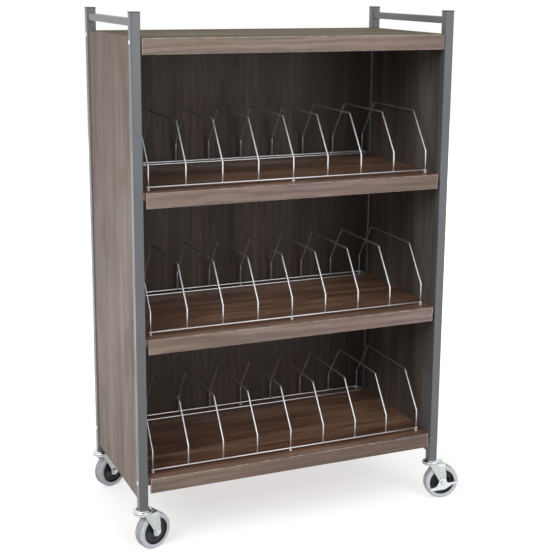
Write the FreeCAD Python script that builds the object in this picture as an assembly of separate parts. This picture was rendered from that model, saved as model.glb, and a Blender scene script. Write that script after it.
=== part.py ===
import FreeCAD, Part
import math
import os

from FreeCAD import Vector

# Mobile chart rack. Millimetres, +X to the right, +Y to the back, +Z up.
# The origin lies on the floor, under the centre of the overall box with the casters as parked.
# While modelling, X = 0 is the left posts' outer face and Y = 0 the front posts' front face;
# every piece is moved by frame_shift() when it is written.

# ---- driving dimensions -------------------------------------------------------------------
# shelf bays
SLOTS = 8                    # binder slots on each shelf
SLOT_PITCH = 101.6           # from one divider to the next
END_ROOM = 28.6              # from the outermost divider to the side panel
SHELF_PITCH = 387.3          # from one shelf surface to the next
BAYS = 3                     # shelf levels with an open bay above

# boards
BOARD = 19.0                 # thickness of shelves, top and side panels
LIP_TALL = 41.0              # lip strip on the front edge of each board
LIP_THICK = 8.0
LIP_ROUND = 2.5              # rounding of the lip's front edges
LIP_RECESS = 0.6             # lip face behind the posts' front faces
LIP_END_GAP = 8.0            # between a shelf lip's end and the post
TOP_LIP_END_GAP = 3.0        # the same on the top board
PANEL_SKIRT = 42.0           # side panel reaches this far below the bottom shelf's underside
LEG_CLEAR = 24.0             # post below the side panel's lower edge
BACK_PANEL = 6.0             # thickness of the back panel
BACK_RECESS = 3.4            # back panel behind the rear posts' rear faces
BACK_SIDE_GAP = 0.5          # between the back panel and each post
EDGE_ROUND = 1.0             # eased long edges of the side panels

# posts and handle bars
POST = 25.4                  # square tube, outside
POST_WALL = 1.6
POST_ROUND = 3.0             # outer corner radius of the tube
BAR = 19.0                   # square handle tube, outside
BAR_WALL = 1.5
BAR_ROUND = 2.5
BAR_GAP = 28.7               # finger room between the top board and the bar
BAR_TO_POST_TOP = 12.8
CAP_PLATE = 4.0              # visible height of a post cap
CAP_OVER = 0.7               # how far it overhangs the post on each side
CAP_ROUND = 1.2
CAP_PLUG = 15.0              # length of the plug inside the post
PLUG_GAP = 0.1               # between a plug or socket and the tube's inside

# bolts through the posts, dowels and screws
BOLT_R = 3.0
BOLT_HEAD_R = 6.5
BOLT_HEAD_TALL = 3.0
BOLT_GRIP = 34.0             # length of the bolt in the board
HOLE_GAP = 0.1               # radial play of bolts, dowels, pegs and stems in their holes
DOWEL_R = 4.0
DOWEL_IN_PANEL = 12.0
DOWEL_IN_BOARD = 24.0
DOWEL_INSET = 70.0           # dowel centre from the inner side of the nearest post
SCREW_R = 1.8
SCREW_HEAD_R = 3.8
SCREW_HEAD_TALL = 2.2
SCREW_GRIP = 20.0            # length of the screw in the board
SCREWS_PER_BOARD = 4

# wire racks
WIRE_R = 2.4
RAIL_UP = 8.0                # rail's centre above the shelf
RAIL_SETBACK = 42.0          # front rail's centre behind the posts' front faces
RACK_DEPTH = 392.0           # front rail to rear rail
REAR_ROOM = 13.6             # rear rail's centre to the back panel
LOOP_WIDTH = 37.0            # rear rail loop, wire centre to wire centre
RAIL_OVERRUN = 6.0           # rail ends past the outermost dividers
DIVIDER_LEG = 54.4           # vertical part of a divider above the rail's centre
DIVIDER_TALL = 160.0         # top wire above the rail's centre
DIVIDER_SLOPE_RUN = 76.0     # depth taken by each sloping part
DIVIDER_BEND_R = 9.0         # centre-line radius of the bends
FOOT_R = 4.5
PEG_R = 2.5
PEG_DEEP = 12.0

# casters
WHEEL_R = 50.8
TYRE_WIDTH = 32.0
TYRE_ROUND = 7.0
TYRE_TALL = 10.3             # tyre over the hub's rim
RIM_HALF = 14.5              # half width of the hub's rim
RIM_WALL = 4.0
WEB_HALF = 5.0               # half thickness of the hub's web
BOSS_R = 11.0
BOSS_HALF = 18.0
RIB_R = 25.0                 # concentric stiffening rib
RIB_WALL = 2.5
RIB_HALF = 10.0
AXLE_R = 4.0
SLEEVE_R = 6.0
RUN_GAP = 0.05               # radial clearance of turning fits
SIDE_GAP = 1.0               # between the hub's boss and each fork leg
FORK_SHEET = 2.5
AXLE_EYE_R = 12.5            # rounded lower end of a fork leg
TRAIL = 32.0                 # axle behind the swivel axis
LEG_LEAD = 10.0              # leg's upper corner ahead of the swivel axis
LEG_LAG = 6.0                # leg's upper corner behind the axle
RIB_PRESS = 1.2              # height of the pressed rib on each leg
RIB_PRESS_WIDE = 9.0
RIB_PRESS_LONG = 28.0
RIB_OVER_LEVER = 1.5         # rib's lower end above the eye of the lever or the leg
CROWN_OVER_WHEEL = 5.4
CROWN_R = 26.0
CROWN_SHEET = 3.0
CROWN_RIM = 3.4              # upturned rim of the crown
CROWN_RIM_WALL = 2.4
SWIVEL_GAP = 0.3             # axial play between fork and cup or stem head
CUP_NECK_R = 22.5            # lower part of the bearing cup, inside the crown's rim
CUP_R = 25.2                 # its widest part
CUP_TOP_R = 19.0
CUP_TALL = 10.7
CUP_SHOULDER = 3.2           # height of the cup's sloping shoulder
CUP_ROUND = 1.2
STEM_R = 5.5
STEM_UP = 38.0               # stem inside the post's socket
STEM_HEAD_R = 9.0
STEM_HEAD_TALL = 4.0
SOCKET_TALL = 46.0
NUT_ACROSS = 13.0
NUT_TALL = 6.0
HEAD_TALL = 5.0
THREAD_END = 1.5             # bolt end that shows past the nut

# side brake lever
LEVER_SHEET = 2.0
LEVER_GAP = 0.3              # lever to fork leg and to nut
LEVER_EYE_R = 14.0
LEVER_LONG = 49.0            # long arm's tip from the axle, level
LEVER_SHORT = 38.0           # short arm's tip from the axle
LEVER_SHORT_DROP = 31.0      # degrees that the short arm points down
LEVER_TIP_R = 4.0
PEDAL_OUT = 8.0              # width of the foot tabs on both arms
PEDAL_LONG = 20.0

# where each caster is parked: direction from the stem to the axle, degrees from +X
PARKED_ANGLE = {
    "front_left": 21.0,
    "front_right": -11.0,
    "rear_left": 23.0,
    "rear_right": 14.0,
}
BRAKED = ("front_right", "rear_right")

# ---- derived sizes ------------------------------------------------------------------------
RACK_LONG = SLOTS * SLOT_PITCH
PANEL_INSET = (POST - BOARD) / 2                  # side panels sit on the posts' centre line
WIDE = RACK_LONG + 2 * (END_ROOM + BOARD + PANEL_INSET)
FIRST_DIVIDER = (WIDE - RACK_LONG) / 2
DEEP = RAIL_SETBACK + RACK_DEPTH + REAR_ROOM + BACK_PANEL + BACK_RECESS
BACK_FRONT = DEEP - BACK_RECESS - BACK_PANEL      # front face of the back panel
BOARD_FRONT = LIP_RECESS + LIP_THICK
BOARD_END = PANEL_INSET + BOARD                   # boards end on the side panels' inner faces

RIM_R = WHEEL_R - TYRE_TALL
CROWN_LOW = 2 * WHEEL_R + CROWN_OVER_WHEEL
CROWN_TOP = CROWN_LOW + CROWN_SHEET
CUP_LOW = CROWN_TOP + SWIVEL_GAP
POST_LOW = CUP_LOW + CUP_TALL
PANEL_LOW = POST_LOW + LEG_CLEAR
BOTTOM_TOP = PANEL_LOW + PANEL_SKIRT + BOARD      # surface of the bottom shelf
TOP_TOP = BOTTOM_TOP + BAYS * SHELF_PITCH         # surface of the top board
BAR_LOW = TOP_TOP + BAR_GAP
POST_TOP = BAR_LOW + BAR + BAR_TO_POST_TOP
LEG_IN = BOSS_HALF + SIDE_GAP                     # fork leg's inner face from the wheel's middle
LEG_OUT = LEG_IN + FORK_SHEET

BOARDS = {
    "bottom_shelf": BOTTOM_TOP,
    "middle_shelf": BOTTOM_TOP + SHELF_PITCH,
    "upper_shelf": BOTTOM_TOP + 2 * SHELF_PITCH,
    "top_board": TOP_TOP,
}
SHELVES = ("bottom_shelf", "middle_shelf", "upper_shelf")
POSTS = {
    "front_left": (POST / 2, POST / 2),
    "front_right": (WIDE - POST / 2, POST / 2),
    "rear_left": (POST / 2, DEEP - POST / 2),
    "rear_right": (WIDE - POST / 2, DEEP - POST / 2),
}


# ---- basic shapes -------------------------------------------------------------------------
def box(low, high):
    """Box between two corners."""
    size = [b - a for a, b in zip(low, high)]
    return Part.makeBox(*size, Vector(*low))


def rod(radius, start, direction, length):
    """Cylinder from a start point along a direction."""
    return Part.makeCylinder(radius, length, Vector(*start), Vector(*direction))


def square_tube(side, wall, corner, length):
    """Square tube along +Z, centred on the Z axis, with rounded corners."""
    outer = square_bar(side, corner, length)
    inner = square_bar(side - 2 * wall, max(corner - wall, wall / 4), length)
    return outer.cut(inner)


def square_bar(side, corner, length):
    """Solid square bar along +Z, centred on the Z axis, with rounded long edges."""
    bar = box((-side / 2, -side / 2, 0), (side / 2, side / 2, length))
    upright = [e for e in bar.Edges if abs(e.Vertexes[0].Z - e.Vertexes[1].Z) > length / 2]
    return bar.makeFillet(corner, upright)


def turned(profile):
    """Solid of revolution about Z from (radius, height) points."""
    points = [Vector(r, 0, z) for r, z in profile]
    face = Part.Face(Part.makePolygon(points + points[:1]))
    return face.revolve(Vector(0, 0, 0), Vector(0, 0, 1), 360)


def circle_edges(shape, radius, height):
    """Circular edges of one radius at one height about Z."""
    found = []
    for edge in shape.Edges:
        curve = edge.Curve
        if hasattr(curve, "Radius") and abs(curve.Radius - radius) < 1e-6:
            if abs(curve.Center.z - height) < 1e-6:
                found.append(edge)
    return found


def hexagon(across, height):
    """Hexagonal prism on the XY plane."""
    corner = across / math.sqrt(3)
    points = [Vector(corner * math.cos(math.radians(a)), corner * math.sin(math.radians(a)), 0)
              for a in range(0, 361, 60)]
    return Part.Face(Part.makePolygon(points)).extrude(Vector(0, 0, height))


def bent_wire(points, bend_r, wire_r):
    """Round wire through points, with an arc at each inner point."""
    edges = []
    start = points[0]
    for before, corner, after in zip(points, points[1:], points[2:]):
        to_before = (before - corner).normalize()
        to_after = (after - corner).normalize()
        half = to_before.getAngle(to_after) / 2
        reach = bend_r / math.tan(half)
        enter = corner + to_before * reach
        leave = corner + to_after * reach
        inward = (to_before + to_after).normalize()
        middle = corner + inward * (bend_r / math.sin(half) - bend_r)
        edges.append(Part.LineSegment(start, enter).toShape())
        edges.append(Part.Arc(enter, middle, leave).toShape())
        start = leave
    edges.append(Part.LineSegment(start, points[-1]).toShape())
    return swept(edges, wire_r)


def swept(edges, wire_r):
    """Round wire along joined tangent edges."""
    path = Part.Wire(edges)
    start = edges[0].valueAt(edges[0].FirstParameter)
    along = edges[0].tangentAt(edges[0].FirstParameter)
    section = Part.Wire([Part.Circle(start, along, wire_r).toShape()])
    return path.makePipeShell([section], True, False)


# ---- boards -------------------------------------------------------------------------------
def post_boxes():
    """The square space that each post takes, full height."""
    half = POST / 2
    return [box((x - half, y - half, POST_LOW), (x + half, y + half, POST_TOP))
            for x, y in POSTS.values()]


def board(name):
    """One horizontal board between the side panels, notched round the posts."""
    top = BOARDS[name]
    shape = box((BOARD_END, BOARD_FRONT, top - BOARD), (WIDE - BOARD_END, BACK_FRONT, top))
    if name == "top_board":
        cover = box((POST + BACK_SIDE_GAP, BACK_FRONT, top - BOARD),
                    (WIDE - POST - BACK_SIDE_GAP, DEEP - BACK_RECESS, top))
        shape = shape.fuse(cover).removeSplitter()
    for space in post_boxes():
        shape = shape.cut(space)
    for hole in board_holes(name):
        shape = shape.cut(hole)
    return shape


def board_holes(name):
    """Holes in a board for its dowels, bolts, back screws and rack pegs."""
    holes = [dowel(name, side, y, HOLE_GAP) for side, y in dowel_places()]
    if name in BOLTED:
        holes += [bolt_shank(name, corner, HOLE_GAP) for corner in POSTS]
    holes += [screw_shank(name, x, HOLE_GAP) for x in screw_places()]
    if name in SHELVES:
        holes += [peg(name, x, y, HOLE_GAP) for x, y in foot_places()]
    return holes


def lip(name):
    """Strip glued to a board's front edge, with its two long front edges rounded."""
    top = BOARDS[name]
    gap = TOP_LIP_END_GAP if name == "top_board" else LIP_END_GAP
    shape = box((POST + gap, LIP_RECESS, top - LIP_TALL), (WIDE - POST - gap, BOARD_FRONT, top))
    front = [e for e in shape.Edges if e.Length > WIDE / 2 and e.CenterOfMass.y < LIP_RECESS + 0.01]
    return shape.makeFillet(LIP_ROUND, front)


def side_panel(side):
    """Side panel between the front and the rear post, with eased outer edges."""
    low_x = PANEL_INSET if side == "left" else WIDE - PANEL_INSET - BOARD
    shape = box((low_x, POST, PANEL_LOW), (low_x + BOARD, DEEP - POST, TOP_TOP))
    outer = low_x if side == "left" else low_x + BOARD
    level = [e for e in shape.Edges if abs(e.CenterOfMass.x - outer) < 0.01
             and abs(e.Vertexes[0].Z - e.Vertexes[1].Z) < 0.01]
    shape = shape.makeFillet(EDGE_ROUND, level)
    for name in BOARDS:
        for dowel_side, y in dowel_places():
            if dowel_side == side:
                shape = shape.cut(dowel(name, side, y, HOLE_GAP))
    return shape


def back_panel():
    """Thin panel on the boards' rear edges, under the top board."""
    shape = box((POST + BACK_SIDE_GAP, BACK_FRONT, BOTTOM_TOP - BOARD),
                (WIDE - POST - BACK_SIDE_GAP, BACK_FRONT + BACK_PANEL, TOP_TOP - BOARD))
    for name in SHELVES:
        for x in screw_places():
            shape = shape.cut(screw_shank(name, x, HOLE_GAP))
    return shape


# ---- joining pieces -----------------------------------------------------------------------
BOLTED = ("bottom_shelf", "top_board")


def board_middle(name):
    """Height of the middle of a board's edge."""
    return BOARDS[name] - BOARD / 2


def dowel_places():
    """Side and depth of the dowels of each board."""
    return [(side, y) for side in ("left", "right")
            for y in (POST + DOWEL_INSET, DEEP - POST - DOWEL_INSET)]


def dowel(name, side, y, grow):
    """Dowel across the joint of a board and a side panel."""
    from_x = BOARD_END - DOWEL_IN_PANEL - grow
    if side == "right":
        from_x = WIDE - BOARD_END - DOWEL_IN_BOARD - grow
    length = DOWEL_IN_PANEL + DOWEL_IN_BOARD + 2 * grow
    return rod(DOWEL_R + grow, (from_x, y, board_middle(name)), (1, 0, 0), length)


def bolt_shank(name, corner, grow):
    """Shank from the post's outer face into the board's end."""
    x, y = POSTS[corner]
    inward = 1 if x < WIDE / 2 else -1
    start = (x - inward * POST / 2, y, board_middle(name))
    return rod(BOLT_R + grow, start, (inward, 0, 0), POST + BOLT_GRIP + grow)


def bolt(name, corner):
    """Dome-head bolt through a post."""
    x, y = POSTS[corner]
    outward = -1 if x < WIDE / 2 else 1
    face = Vector(x + outward * POST / 2, y, board_middle(name))
    ball_r = (BOLT_HEAD_R ** 2 + BOLT_HEAD_TALL ** 2) / (2 * BOLT_HEAD_TALL)
    ball = Part.makeSphere(ball_r, face + Vector(outward * (BOLT_HEAD_TALL - ball_r), 0, 0))
    blank = Part.makeCylinder(BOLT_HEAD_R, BOLT_HEAD_TALL, face, Vector(outward, 0, 0))
    return blank.common(ball).fuse(bolt_shank(name, corner, 0))


def screw_places():
    """Positions of the back panel's screws along a board."""
    span = WIDE - 2 * (POST + BACK_SIDE_GAP)
    step = span / SCREWS_PER_BOARD
    return [POST + BACK_SIDE_GAP + step * (i + 0.5) for i in range(SCREWS_PER_BOARD)]


def screw_shank(name, x, grow):
    """Shank from the back panel's rear face into a board."""
    start = (x, BACK_FRONT + BACK_PANEL, board_middle(name))
    return rod(SCREW_R + grow, start, (0, -1, 0), BACK_PANEL + SCREW_GRIP + grow)


def screw(name, x):
    """Pan-head screw in the back panel."""
    head_start = (x, BACK_FRONT + BACK_PANEL, board_middle(name))
    head = rod(SCREW_HEAD_R, head_start, (0, 1, 0), SCREW_HEAD_TALL)
    return head.fuse(screw_shank(name, x, 0))


# ---- posts and bars -----------------------------------------------------------------------
def post(corner):
    """Corner post: square tube from the caster to above the handle bar."""
    x, y = POSTS[corner]
    tube = square_tube(POST, POST_WALL, POST_ROUND, POST_TOP - POST_LOW)
    tube.translate(Vector(x, y, POST_LOW))
    for name in BOLTED:
        tube = tube.cut(bolt_shank(name, corner, HOLE_GAP))
    return tube


def cap(corner):
    """Post cap: a plate on the tube's end and a plug inside it."""
    x, y = POSTS[corner]
    side = POST + 2 * CAP_OVER
    plate = square_bar(side, POST_ROUND + CAP_OVER, CAP_PLATE)
    upper = [e for e in plate.Edges if e.CenterOfMass.z > CAP_PLATE - 0.01]
    plate = plate.makeFillet(CAP_ROUND, upper)
    plug_side = POST - 2 * (POST_WALL + PLUG_GAP)
    plug = square_bar(plug_side, POST_ROUND - POST_WALL, CAP_PLUG)
    plug.translate(Vector(0, 0, -CAP_PLUG))
    shape = plate.fuse(plug)
    shape.translate(Vector(x, y, POST_TOP))
    return shape


def handle_bar(side):
    """Square tube welded between the front and the rear post of one side."""
    x = POST / 2 if side == "left" else WIDE - POST / 2
    tube = square_tube(BAR, BAR_WALL, BAR_ROUND, DEEP - 2 * POST)
    tube.rotate(Vector(0, 0, 0), Vector(1, 0, 0), -90)
    tube.translate(Vector(x, POST, BAR_LOW + BAR / 2))
    return tube


# ---- wire racks ---------------------------------------------------------------------------
def divider_places():
    """Position of each divider along the shelf."""
    return [FIRST_DIVIDER + i * SLOT_PITCH for i in range(SLOTS + 1)]


def rail_height(name):
    """Centre height of the rails on a shelf."""
    return BOARDS[name] + RAIL_UP


def front_rail(name):
    """Straight front rail under the dividers' front legs."""
    start = (FIRST_DIVIDER - RAIL_OVERRUN, RAIL_SETBACK, rail_height(name))
    return rod(WIRE_R, start, (1, 0, 0), RACK_LONG + 2 * RAIL_OVERRUN)


def rear_rail(name):
    """Rear rail: a flat closed loop of wire, the dividers stand on its rear run."""
    z = rail_height(name)
    back = RAIL_SETBACK + RACK_DEPTH
    front = back - LOOP_WIDTH
    left = FIRST_DIVIDER
    right = FIRST_DIVIDER + RACK_LONG
    turn = LOOP_WIDTH / 2
    # the half-round ends stop short of the side panels
    left_in = left - RAIL_OVERRUN + turn
    right_in = right + RAIL_OVERRUN - turn
    middle = (front + back) / 2
    edges = [
        Part.LineSegment(Vector(left_in, back, z), Vector(right_in, back, z)).toShape(),
        Part.Arc(Vector(right_in, back, z), Vector(right_in + turn, middle, z),
                 Vector(right_in, front, z)).toShape(),
        Part.LineSegment(Vector(right_in, front, z), Vector(left_in, front, z)).toShape(),
        Part.Arc(Vector(left_in, front, z), Vector(left_in - turn, middle, z),
                 Vector(left_in, back, z)).toShape(),
    ]
    return swept(edges, WIRE_R)


def divider(name, x):
    """Bent-wire divider, its two legs welded on the front and the rear rail."""
    z = rail_height(name)
    front = RAIL_SETBACK
    back = RAIL_SETBACK + RACK_DEPTH
    points = [
        Vector(x, front, z),
        Vector(x, front, z + DIVIDER_LEG),
        Vector(x, front + DIVIDER_SLOPE_RUN, z + DIVIDER_TALL),
        Vector(x, back - DIVIDER_SLOPE_RUN, z + DIVIDER_TALL),
        Vector(x, back, z + DIVIDER_LEG),
        Vector(x, back, z),
    ]
    return bent_wire(points, DIVIDER_BEND_R, WIRE_R)


def foot_places():
    """Feet under the first, the middle and the last divider, front and rear."""
    places = divider_places()
    return [(x, y) for x in (places[0], places[len(places) // 2], places[-1])
            for y in (RAIL_SETBACK, RAIL_SETBACK + RACK_DEPTH)]


def peg(name, x, y, grow):
    """Peg of a foot, down into the shelf."""
    return rod(PEG_R + grow, (x, y, BOARDS[name]), (0, 0, -1), PEG_DEEP + grow)


def foot(name, x, y):
    """Ferrule that cradles a rail, with its peg."""
    ferrule = rod(FOOT_R, (x, y, BOARDS[name]), (0, 0, 1), RAIL_UP)
    return ferrule.fuse(peg(name, x, y, 0))


def rack(name):
    """Front rail, rear rail, dividers and feet of one shelf, cut to meet face to face."""
    front = front_rail(name)
    rear = rear_rail(name)
    dividers = [divider(name, x).cut(front).cut(rear) for x in divider_places()]
    feet = [foot(name, x, y).cut(front).cut(rear) for x, y in foot_places()]
    dividers = [largest(piece) for piece in dividers]
    feet = [largest(piece) for piece in feet]
    return front, rear, dividers, feet


def largest(shape):
    """Biggest solid of a cut, without the crumbs beyond it."""
    return max(shape.Solids, key=lambda solid: solid.Volume)


# ---- casters, in their own frame: stem on Z, trail along +X -------------------------------
def fork_leg():
    """Tapered leg with a round axle eye, as a plate in the XZ plane from Y = 0."""
    eye = (TRAIL, WHEEL_R)
    lead = (-LEG_LEAD, CROWN_TOP)
    lag = (TRAIL + LEG_LAG, CROWN_TOP)
    outline = [lead, lag, tangent_point(lag, eye, AXLE_EYE_R, 1), eye,
               tangent_point(lead, eye, AXLE_EYE_R, -1)]
    points = [Vector(x, 0, z) for x, z in outline]
    plate = Part.Face(Part.makePolygon(points + points[:1])).extrude(Vector(0, FORK_SHEET, 0))
    round_end = rod(AXLE_EYE_R, (TRAIL, 0, WHEEL_R), (0, 1, 0), FORK_SHEET)
    return plate.fuse(round_end).removeSplitter()


def tangent_point(outside, centre, radius, side):
    """Where the line from an outside point touches a circle, on the chosen side."""
    dx = outside[0] - centre[0]
    dz = outside[1] - centre[1]
    away = math.hypot(dx, dz)
    angle = math.atan2(dz, dx) - side * math.acos(radius / away)
    return centre[0] + radius * math.cos(angle), centre[1] + radius * math.sin(angle)


def pressed_rib():
    """Rounded rib along a leg's outer face, above the axle eye."""
    low = WHEEL_R + max(AXLE_EYE_R, LEVER_EYE_R) + RIB_OVER_LEVER + RIB_PRESS_WIDE / 2
    high = min(low + RIB_PRESS_LONG, CROWN_LOW - RIB_PRESS_WIDE / 2)
    half = RIB_PRESS_WIDE / 2
    strip = box((TRAIL - half, -RIB_PRESS, low), (TRAIL + half, 0, high))
    ends = [rod(half, (TRAIL, -RIB_PRESS, z), (0, 1, 0), RIB_PRESS) for z in (low, high)]
    return strip.fuse(ends).removeSplitter()


def fork():
    """Pressed fork: round crown with an upturned rim, two legs and the axle holes."""
    crown = Part.makeCylinder(CROWN_R, CROWN_SHEET, Vector(0, 0, CROWN_LOW))
    apron = box((-LEG_LEAD, -LEG_OUT, CROWN_LOW), (TRAIL + LEG_LAG, LEG_OUT, CROWN_TOP))
    rim = Part.makeCylinder(CROWN_R, CROWN_RIM, Vector(0, 0, CROWN_TOP))
    rim = rim.cut(Part.makeCylinder(CROWN_R - CROWN_RIM_WALL, CROWN_RIM, Vector(0, 0, CROWN_TOP)))
    shape = crown.fuse([apron, rim])
    for side in (-1, 1):
        leg = fork_leg().fuse(pressed_rib())
        leg.translate(Vector(0, -LEG_OUT, 0))
        if side > 0:
            leg = leg.mirror(Vector(0, 0, 0), Vector(0, 1, 0))
        shape = shape.fuse(leg)
    shape = shape.cut(rod(AXLE_R + HOLE_GAP, (TRAIL, -LEG_OUT, WHEEL_R), (0, 1, 0), 2 * LEG_OUT))
    shape = shape.cut(Part.makeCylinder(STEM_R + RUN_GAP, CROWN_SHEET, Vector(0, 0, CROWN_LOW)))
    return shape.removeSplitter()


def lever_room(braked):
    """Space between the fork leg and the nut for the lever, if there is one."""
    return LEVER_SHEET + 2 * LEVER_GAP if braked else 0


def axle(braked):
    """Bolt, nut and sleeve; with a brake also the bush that the lever turns on."""
    room = lever_room(braked)
    at_axle = Vector(TRAIL, 0, WHEEL_R)
    nut_face = LEG_OUT + room
    shank_low = -(nut_face + NUT_TALL + THREAD_END)
    shank = Part.makeCylinder(AXLE_R, LEG_OUT - shank_low, Vector(0, 0, shank_low))
    head = hexagon(NUT_ACROSS, HEAD_TALL)
    head.translate(Vector(0, 0, LEG_OUT))
    nut = hexagon(NUT_ACROSS, NUT_TALL)
    nut.translate(Vector(0, 0, -nut_face - NUT_TALL))
    bore = Part.makeCylinder(AXLE_R + HOLE_GAP, 2 * LEG_OUT + room, Vector(0, 0, -nut_face))
    nut = nut.cut(Part.makeCylinder(AXLE_R, NUT_TALL, Vector(0, 0, -nut_face - NUT_TALL)))
    sleeve = Part.makeCylinder(SLEEVE_R, 2 * LEG_IN, Vector(0, 0, -LEG_IN)).cut(bore)
    pieces = [shank.fuse(head), nut, sleeve]
    if braked:
        bush = Part.makeCylinder(SLEEVE_R, room, Vector(0, 0, -nut_face))
        pieces.append(bush.cut(bore))
    for piece in pieces:
        lay_on_axle(piece)
        piece.translate(at_axle)
    return pieces


def lay_on_axle(shape):
    """Turn a shape made about Z so that its axis lies along Y, +Z becoming +Y."""
    shape.rotate(Vector(0, 0, 0), Vector(1, 0, 0), -90)


def on_wheel(shape):
    """Lay a turned shape on the wheel's axle."""
    lay_on_axle(shape)
    shape.translate(Vector(TRAIL, 0, WHEEL_R))
    return shape


def hub():
    """Moulded hub: boss, web, one concentric rib and the rim."""
    bore = SLEEVE_R + RUN_GAP
    shape = ring(bore, BOSS_R, BOSS_HALF)
    shape = shape.fuse(ring(bore, RIM_R, WEB_HALF))
    shape = shape.fuse(ring(RIB_R - RIB_WALL / 2, RIB_R + RIB_WALL / 2, RIB_HALF))
    shape = shape.fuse(ring(RIM_R - RIM_WALL, RIM_R, RIM_HALF))
    return on_wheel(shape.removeSplitter())


def ring(inner, outer, half):
    """Flat ring about Z, centred on Z = 0."""
    shape = Part.makeCylinder(outer, 2 * half, Vector(0, 0, -half))
    return shape.cut(Part.makeCylinder(inner, 2 * half, Vector(0, 0, -half)))


def tyre():
    """Soft tread round the hub, with rounded shoulders."""
    half = TYRE_WIDTH / 2
    blank = Part.makeCylinder(WHEEL_R, TYRE_WIDTH, Vector(0, 0, -half))
    shoulders = circle_edges(blank, WHEEL_R, -half) + circle_edges(blank, WHEEL_R, half)
    blank = blank.makeFillet(TYRE_ROUND, shoulders)
    return on_wheel(blank.cut(Part.makeCylinder(RIM_R, TYRE_WIDTH, Vector(0, 0, -half))))


def brake_lever():
    """Pressed side lever across the hub, with a foot tab on each arm."""
    drop = math.radians(LEVER_SHORT_DROP)
    short_tip = (-LEVER_SHORT * math.cos(drop), -LEVER_SHORT * math.sin(drop))
    long_tip = (LEVER_LONG, 0)
    plate = Part.makeCylinder(LEVER_EYE_R, LEVER_SHEET)
    for tip in (short_tip, long_tip):
        plate = plate.fuse(arm(tip))
    plate = plate.fuse([foot_tab(short_tip, drop), foot_tab(long_tip, 0)])
    plate = plate.cut(Part.makeCylinder(SLEEVE_R + RUN_GAP, LEVER_SHEET)).removeSplitter()
    # stand the plate up outside the leg: its Y becomes Z, its Z becomes -Y
    plate.rotate(Vector(0, 0, 0), Vector(1, 0, 0), 90)
    plate.translate(Vector(TRAIL, -(LEG_OUT + LEVER_GAP), WHEEL_R))
    return plate


def arm(tip):
    """Tapered arm from the eye to a rounded tip, as a flat plate."""
    outline = [tangent_pair((0, 0), LEVER_EYE_R, tip, LEVER_TIP_R, side) for side in (1, -1)]
    (eye_a, tip_a), (eye_b, tip_b) = outline
    points = [Vector(x, y, 0) for x, y in (eye_a, tip_a, tip_b, eye_b)]
    body = Part.Face(Part.makePolygon(points + points[:1])).extrude(Vector(0, 0, LEVER_SHEET))
    return body.fuse(Part.makeCylinder(LEVER_TIP_R, LEVER_SHEET, Vector(*tip, 0)))


def tangent_pair(centre_a, radius_a, centre_b, radius_b, side):
    """Touch points of the outer tangent of two circles, on the chosen side."""
    dx = centre_b[0] - centre_a[0]
    dy = centre_b[1] - centre_a[1]
    away = math.hypot(dx, dy)
    angle = math.atan2(dy, dx) + side * math.acos((radius_a - radius_b) / away)
    along = (math.cos(angle), math.sin(angle))
    touch_a = (centre_a[0] + radius_a * along[0], centre_a[1] + radius_a * along[1])
    touch_b = (centre_b[0] + radius_b * along[0], centre_b[1] + radius_b * along[1])
    return touch_a, touch_b


def foot_tab(tip, drop):
    """Tab bent outwards along an arm's upper edge, near its tip."""
    outward = 1 if tip[0] > 0 else -1
    tab = box((-PEDAL_LONG, LEVER_TIP_R - LEVER_SHEET, 0),
              (LEVER_TIP_R / 2, LEVER_TIP_R, LEVER_SHEET + PEDAL_OUT))
    if outward < 0:
        tab = tab.mirror(Vector(0, 0, 0), Vector(1, 0, 0))
    tab.rotate(Vector(0, 0, 0), Vector(0, 0, 1), math.degrees(drop))
    tab.translate(Vector(*tip, 0))
    return tab


def cup():
    """Chrome bearing cup fixed under the post, over the crown's rim."""
    flange_low = CUP_LOW + CROWN_RIM
    flange_high = CUP_LOW + CUP_TALL - CUP_SHOULDER
    profile = [(STEM_R + HOLE_GAP, CUP_LOW), (CUP_NECK_R, CUP_LOW), (CUP_NECK_R, flange_low),
               (CUP_R, flange_low), (CUP_R, flange_high), (CUP_TOP_R, CUP_LOW + CUP_TALL),
               (STEM_R + HOLE_GAP, CUP_LOW + CUP_TALL)]
    shape = turned(profile)
    edges = circle_edges(shape, CUP_R, flange_low) + circle_edges(shape, CUP_R, flange_high)
    return shape.makeFillet(CUP_ROUND, edges)


def stem():
    """Caster stem with its riveted head under the fork's crown."""
    head_top = CROWN_LOW - SWIVEL_GAP
    head_low = head_top - STEM_HEAD_TALL
    head = Part.makeCylinder(STEM_HEAD_R, STEM_HEAD_TALL, Vector(0, 0, head_low))
    pin = Part.makeCylinder(STEM_R, POST_LOW + STEM_UP - head_low, Vector(0, 0, head_low))
    return head.fuse(pin).removeSplitter()


def socket(corner):
    """Square plastic socket inside the post that grips the stem."""
    side = POST - 2 * (POST_WALL + PLUG_GAP)
    shape = square_bar(side, POST_ROUND - POST_WALL, SOCKET_TALL)
    shape = shape.cut(Part.makeCylinder(STEM_R + HOLE_GAP, STEM_UP + HOLE_GAP))
    shape.translate(Vector(*POSTS[corner], POST_LOW))
    return shape


def parked(shape, corner):
    """Turn a caster piece to its parked direction and set it under its post."""
    placed = shape.copy()
    placed.rotate(Vector(0, 0, 0), Vector(0, 0, 1), PARKED_ANGLE[corner])
    placed.translate(Vector(*POSTS[corner], 0))
    return placed


# ---- the frame's origin -------------------------------------------------------------------
def frame_shift(pieces):
    """Move that brings the middle of the overall box over the origin."""
    overall = FreeCAD.BoundBox()
    for shape in pieces:
        overall.add(shape.optimalBoundingBox(False))
    return Vector(-overall.Center.x, -overall.Center.y, 0)


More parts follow.
